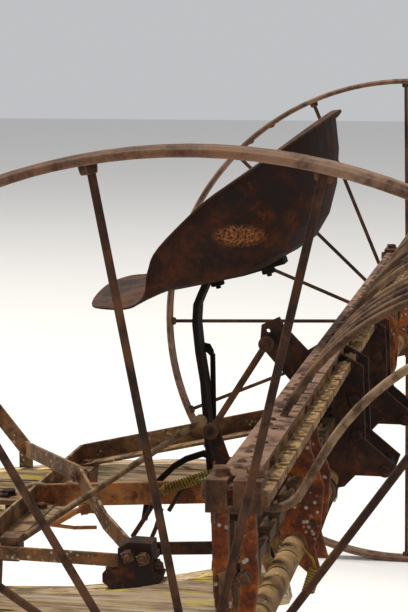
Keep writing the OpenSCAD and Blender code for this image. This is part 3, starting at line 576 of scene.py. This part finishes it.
def dress_wheel(name, s):
    hub = Vector((AXLE.x, s * WHEEL_Y, AXLE.z))
    inner = WHEEL_R - RIM_T * MM
    nuts = Shape()
    for i in range(SPOKE_N):
        t = SPOKE_TURN[name] + 2 * math.pi * i / SPOKE_N
        out = Vector((math.cos(t), 0, math.sin(t)))
        lean = SPOKE_STAGGER if i % 2 else -SPOKE_STAGGER
        foot = hub + out * inner + Vector((0, lean * MM, 0))
        profile = [(0, 8.6), (2, 10.4), (9, 11.4), (11.5, 11.4)]
        nuts.turned(foot - out * NUT_FOOT * MM, out, profile, 4, math.pi / 4)
    for side in (-1, 1):
        t = RIM_JOINT + side * RIM_JOINT_HALF
        out = Vector((math.cos(t), 0, math.sin(t)))
        for y in (-RIM_RIVET_Y, RIM_RIVET_Y):
            nuts.dome(hub + out * (inner - 0.2 * MM) + Vector((0, y * MM, 0)), -out, 15, 4)
    nuts.make("spoke_nuts_" + name, "wheel_" + name + "_unit", "bolt")
    rings = Shape()
    for end in (-1, 1):
        for along, radius in HUB_RINGS:
            profile = [(0, HUB_RING_FOOT), (1.5, radius - 0.6), (5, radius), (8.5, radius - 0.6),
                       (HUB_RING_LEN, HUB_RING_FOOT)]
            start = hub + Vector((0, end * (along - HUB_RING_LEN / 2) * MM, 0))
            rings.turned(start, (0, end, 0), profile, 40)
    rings.make("hub_rings_" + name, "wheel_" + name + "_unit", "hub")


dress_wheel("left", 1)
dress_wheel("right", -1)


# Rake head: rivets, bolts of plates and holders, washers between the hubs

PLACES = 28
TOOTH_PITCH = 95
ROW_Y = (PLACES - 1) / 2 * TOOTH_PITCH
KITE_GAPS = (-8, -7, 7, 8)
DUMP_GAPS = (-3, -2, 2, 3)
HANGER_GAPS = (-4, 4)
HEAD_TOP = 240
HEAD_FACE_X = 30
HEAD_END_Y = 1357.5
BAR_FACE_X = 32
CLIP_FACE_X = 31.8
HOLDER_TOP = 220
PLATE_FACE = 3.8
LOCK_PLATE_Y = 142.5
LOCK_PLATE_FACE = 4.8
SUNK = 0.3


def dress_head():
    rivets = Shape()
    clips = Shape()
    for k in range(PLACES):
        y = ROW_Y - k * TOOTH_PITCH
        for side in (-30, 30):
            rivets.dome(at(12, y + side, HEAD_TOP - SUNK), UP, 13, 4)
            rivets.dome(at(HEAD_FACE_X - SUNK, y + side, 214), FORWARD, 13, 4)
        rivets.turned(at(BAR_FACE_X - SUNK, y, 60), FORWARD, [(0, 9), (2, 9), (3.4, 7)], 14)
        clips.bolt(at(CLIP_FACE_X, y, 112), FORWARD, 15, 7, 0.4)
        for side in (-26, 26):
            clips.dome(at(-30, y + side, HOLDER_TOP - SUNK), UP, 12, 4)
    rivets.make("head_rivets", "rake_unit", "bolt")
    clips.make("holder_bolts", "rake_unit", "holder")


def dress_hub_gaps():
    """Washers on the axle, in the gaps between hubs that no plate or hanger fills."""
    long, inner, outer = 7.2, 14.2, 17
    rings = Shape()
    for gap in range(PLACES // 2 - 1, -PLACES // 2, -1):
        if gap in KITE_GAPS + DUMP_GAPS + HANGER_GAPS:
            continue
        start = at(0, gap * TOOTH_PITCH - long / 2, 0)
        rings.turned(start, ACROSS, [(0, inner), (0, outer), (long, outer), (long, inner)], 24)
    rings.make("hub_washers", "rake_unit", "dark")


def dress_kites():
    """Rivets along the kite-shaped brackets, and the collars where they turn on the axle."""
    long = 11.2
    plates = Shape()
    for gap in KITE_GAPS:
        y = gap * TOOTH_PITCH
        for x, z in ((-8, 214), (-16, 176), (-24, 108), (-30, 40)):
            for side in (-1, 1):
                plates.dome(at(x, y + side * PLATE_FACE, z), ACROSS * side, 14, 5)
        profile = [(0, 20), (1.4, 22), (long - 1.4, 22), (long, 20)]
        plates.turned(at(0, y - long / 2, 0), ACROSS, profile, 28)
    plates.make("kite_rivets", "rake_unit", "bolt")


def dress_dump():
    """Square bolts on the dump castings, and the nuts of their arms behind the axle."""
    dump = Shape()
    for gap in DUMP_GAPS:
        y = gap * TOOTH_PITCH
        for x, z in ((-34, 214), (-46, 150), (-52, 84)):
            for side in (-1, 1):
                dump.bolt(at(x, y + side * PLATE_FACE, z), ACROSS * side, 17, 7, 0.5)
        for side in (-1, 1):
            dump.nut(at(-104, y + side * PLATE_FACE, 18), ACROSS * side, 19, 8, 10, 0.6, sides=6)
    dump.make("dump_bolts", "rake_unit", "dark")


def dress_ends():
    """Bolts of the end clamps and end brackets, and the collars outside them."""
    ends = Shape()
    for s in (-1, 1):
        clamp_y = s * (HEAD_END_Y - 26)
        for x in (-24, 20):
            ends.bolt(at(x, clamp_y, HEAD_TOP + 8), UP, 20, 9, 0.3)
        ends.bolt(at(36, clamp_y, 226), FORWARD, 18, 8, 0.7)
        for x, z in ((10, 120), (-13, 118)):
            ends.bolt(at(x, s * (HEAD_END_Y - 7), z), ACROSS * s, 16, 8, 0.5)
        ends.turned(at(0, s * (HEAD_END_Y - 0.2), 0), ACROSS * s, [(0, 22), (3, 22), (5, 19)], 28)
    ends.make("head_end_bolts", "rake_unit", "bolt")


def dress_lock_plate():
    lock = Shape()
    for x, z in ((44, 200), (62, 184)):
        lock.bolt(at(x, LOCK_PLATE_Y + LOCK_PLATE_FACE, z), ACROSS, 17, 8, 0.4)
        lock.bolt(at(x, LOCK_PLATE_Y - LOCK_PLATE_FACE, z), -ACROSS, 17, 8, 0.4)
    lock.make("lock_plate_bolts", "rake_unit", "dark")


dress_head()
dress_hub_gaps()
dress_kites()
dress_dump()
dress_ends()
dress_lock_plate()


# Draft frame: bolts of the beams, hangers, clip, braces and cross piece

BEAM_OUTER = 433.8
BEAM_INNER = 376.2
HANGER_COLLAR_Y = 383.8
CLIP_OUTER = 431.8
CLIP_Y = 409
LEG_SLOPE = 0.23
CROSS_TOP = -145.2
CROSS_BOLT_X = 621
POLE_BOLTS_X = (760, 930)


def pole_bolt_z(s, x):
    """Height of a bolt through a pole, which falls slowly on the left and faster on the right."""
    return -246 - (x - 620) * 0.084 if s > 0 else -207 - (x - 760) * 0.31


def dress_beams(bolts):
    """Through each beam the bolts of the hanger, the cross piece and the pole, and the hanger's collar.

    Each side's hanger bolts are places in X and Z.
    """
    hanger_bolts = {-1: ((84, -166), (166, -176)), 1: ((84, -174), (166, -187.2))}
    cross_nut_z = {-1: -196, 1: -240}
    for s in (-1, 1):
        for x, z in hanger_bolts[s]:
            bolts.nut(at(x, s * BEAM_OUTER, z), ACROSS * s, 24, 11, 12, 0.3)
            bolts.dome(at(x, s * BEAM_INNER, z), -ACROSS * s, 24, 6)
        bolts.nut(at(CROSS_BOLT_X, s * BEAM_OUTER, cross_nut_z[s]), ACROSS * s, 24, 11, 12, 0.5)
        bolts.dome(at(CROSS_BOLT_X, s * BEAM_INNER, -224), -ACROSS * s, 24, 6)
        for x in POLE_BOLTS_X:
            bolts.nut(at(x, s * BEAM_OUTER, pole_bolt_z(s, x)), ACROSS * s, 22, 10, 12, 0.1)
        collar = [(0, 25), (4, 25), (6, 23), (6, 15)]
        bolts.turned(at(0, s * HANGER_COLLAR_Y, 0), ACROSS * s, collar, 28)


def dress_frame():
    bolts = Shape()
    dress_beams(bolts)
    for x, z in ((318, -128), (346, -124)):
        bolts.nut(at(x, CLIP_OUTER, z), ACROSS, 20, 9, 11, 0.4)
    bolts.nut(at(382, CLIP_Y, -156), UP, 20, 9, 11, 0.2)
    bolts.nut(at(296, CLIP_Y, -150), UP, 18, 8, 10, 0.2, sides=6)
    for x in (160, 184):
        z = -12 - (x - 160) * LEG_SLOPE
        bolts.bolt(at(x, -389.8, z), -ACROSS, 18, 8, 0.4)
        bolts.bolt(at(x, -375.8, z), ACROSS, 18, 8, 0.2)
    for y in (-362, -40, 40, 300, 400):
        bolts.bolt(at(615, y, CROSS_TOP), UP, 18, 8, 0.4 + y * 0.01)
    bolts.make("frame_bolts", "frame_unit", "bolt")


def dress_braces():
    """Bolts of the two braces: where they join, on the long one's strut and at its front end."""
    marks = Shape()
    across_near = Vector((0.839, 0.545, 0))
    joint = at(503.6, 159.5, -46)
    marks.nut(joint + across_near * 3 * MM, across_near, 20, 9, 11, 0.5)
    marks.dome(joint - across_near * 11.6 * MM, -across_near, 22, 7)
    marks.bolt(at(773, -404.6, -125), ACROSS, 18, 8, 0.6)
    marks.bolt(at(773, -413.4, -125), -ACROSS, 18, 8, 0.2)
    marks.nut(at(842, -406.2, -40), ACROSS, 18, 8, 10, 0.2, sides=6)
    marks.make("brace_bolts", "frame_unit", "bolt")


def dress_draft():
    """Round ring and clevis hook in the middle of the front cross piece."""
    ring = Shape()
    steps = 40
    turn = [2 * math.pi * i / steps for i in range(steps)]
    ring.wire([at(632 + 34 * math.cos(t), -6 + 8 * math.sin(t), -128 + 22 * math.sin(t)) for t in turn]
              + [at(666, -6, -128)], 10)
    ring.make("draft_ring", "frame_unit", "rod")
    hook = Shape()
    for side in (-1, 1):
        hook.wire([at(690, side * 20, -127), at(716, side * 20, -133), at(738, side * 18, -160),
                   at(736, side * 12, -196), at(712, side * 6, -216), at(692, side * 3, -214)], 12)
    hook.bolt(at(695, 0, -131.2), UP, 26, 10, sides=6)
    hook.turned(at(695, 0, -168), UP, [(0, 7), (2, 8.4), (27, 8.4)], 16)
    hook.make("draft_hook", "frame_unit", "dark")


def dress_pawl():
    """Bent strap with a thinner rod under it, from the front cross piece back."""
    pawl = Shape()
    pawl.wire([at(640, 96, -150), at(606, 98, -166), at(566, 98, -158), at(528, 98, -134),
               at(507, 98, -126)], 13)
    pawl.wire([at(583, 98, -164), at(532, 98, -168), at(486, 98, -165)], 8, 8)
    pawl.bolt(at(507, 104, -126), ACROSS, 20, 8, 0.3)
    pawl.make("pawl_strap", "frame_unit", "orange")


def dress_hanging_rods():
    small = Shape()
    for path, d in ((((306, 30, -73), (330, 30, -104), (352, 30, -142)), 9),
                    (((384, -8, -126), (408, -8, -166), (436, -8, -210)), 10),
                    (((376, -14, -150), (388, -14, -190), (399, -14, -217)), 9)):
        small.wire([at(*p) for p in path], d)
    small.make("hanging_rods", "frame_unit", "dark")


dress_frame()
dress_braces()
dress_draft()
dress_pawl()
dress_hanging_rods()


# Coil springs: the lock spring that stands for the CAD's plain one, and a loose one on the head

SPRING_Y = 40


def lock_spring():
    """Coil between two round pins, with a short straight wire at each end."""
    spring = Shape()
    a, b = at(250, SPRING_Y, -56), at(362, SPRING_Y, -97)
    spring.coil(a, b, 9.4, 4.2, 19)
    way = (b - a).normalized()
    tail, bend, root = 10 * MM, 2 * MM, 4 * MM
    spring.wire([a - way * tail, a - way * bend, a + way * root], 6)
    spring.wire([b - way * root, b + way * bend, b + way * tail], 6)
    spring.turned(at(245, 25.4, -54), ACROSS, [(0, 4.5), (20, 4.5), (20.6, 4)], 14)
    spring.turned(at(367, 5.4, -99), ACROSS, [(0, 4.5), (40, 4.5), (40.6, 4)], 14)
    spring.wire([a - way * tail + UP * MM, at(245, SPRING_Y, -54)], 6)
    spring.wire([b + way * tail, at(367, SPRING_Y, -99)], 6)
    piece = spring.make("lock_spring", "frame_unit", "spring")
    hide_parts("tension_spring")


def loose_spring():
    loose = Shape()
    loose.coil(at(-39, 800, -24), at(-27, 800, -64), 9, 3.6, 9)
    loose.wire([at(-39, 800, -24), at(-34, 800, -8), at(-18, 800, 8)], 4, 8)
    loose.make("loose_spring", "rake_unit", "spring")


lock_spring()
loose_spring()


# Seat: the bolts through its floor, with their nuts on the strap below, and the hooked rod's bend

SEAT_FRONT = (353, 329)
SEAT_TILT = math.radians(12.8)


def seat_at(back, up):
    """Point given back along the seat's floor and up from it, in millimetres from its front."""
    return at(SEAT_FRONT[0] - back * math.cos(SEAT_TILT) + up * math.sin(SEAT_TILT), 0,
              SEAT_FRONT[1] + back * math.sin(SEAT_TILT) + up * math.cos(SEAT_TILT))


def dress_seat():
    away = Vector((math.sin(SEAT_TILT), 0, math.cos(SEAT_TILT)))
    seat = Shape()
    for back, floor_up, strap_up in ((91, -7.4, -24.0), (197, -1.6, -20.4)):
        seat.dome(seat_at(back, floor_up), away, 24, 6)
        seat.nut(seat_at(back, strap_up), -away, 20, 9, 11, 0.4)
    seat.make("seat_bolts", "frame_unit", "post")


def dress_hook_rod():
    y = -31
    hook = Shape()
    hook.wire([at(273, y, 160), at(275, y, 178), at(281, y, 189), at(290, y, 191), at(296, y, 184),
               at(297, y, 168), at(296, y, 140)], 9, 12)
    hook.make("hook_end", "frame_unit", "post")


dress_seat()
dress_hook_rod()
